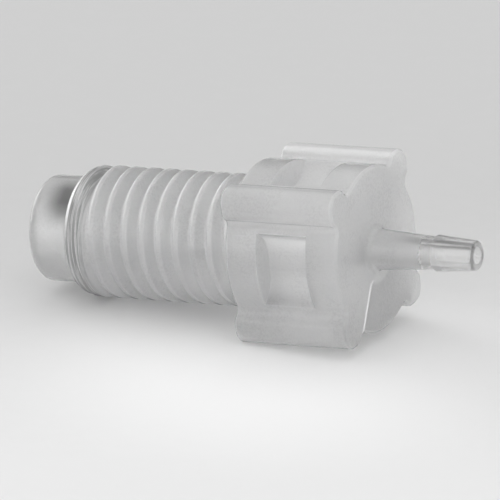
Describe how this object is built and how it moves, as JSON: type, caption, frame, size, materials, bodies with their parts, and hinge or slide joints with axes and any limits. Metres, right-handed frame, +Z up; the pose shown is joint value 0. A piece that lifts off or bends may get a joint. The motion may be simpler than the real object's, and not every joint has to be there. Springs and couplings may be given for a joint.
{
  "type": "threaded tube adapter",
  "caption": "Small translucent adapter with a plain pilot, a 1/4-28 thread, a lobed finger grip with pockets and a barbed hose stem, with a passage right through.",
  "frame": {"origin": "on the table, under the middle of the box of the piece as it lies", "axes": "+X from the pilot towards the barb, along the table; +Z up. The piece's own axis rises from the table by 5.35 degrees towards the barb"},
  "size_m": [0.0226, 0.0078, 0.0083],
  "materials": {
    "polypropylene": "translucent natural plastic, satin on the grip and thread, glossy on pilot and stem"
  },
  "bodies": {
    "root": {"adapter": "polypropylene"}
  },
  "joints": []
}
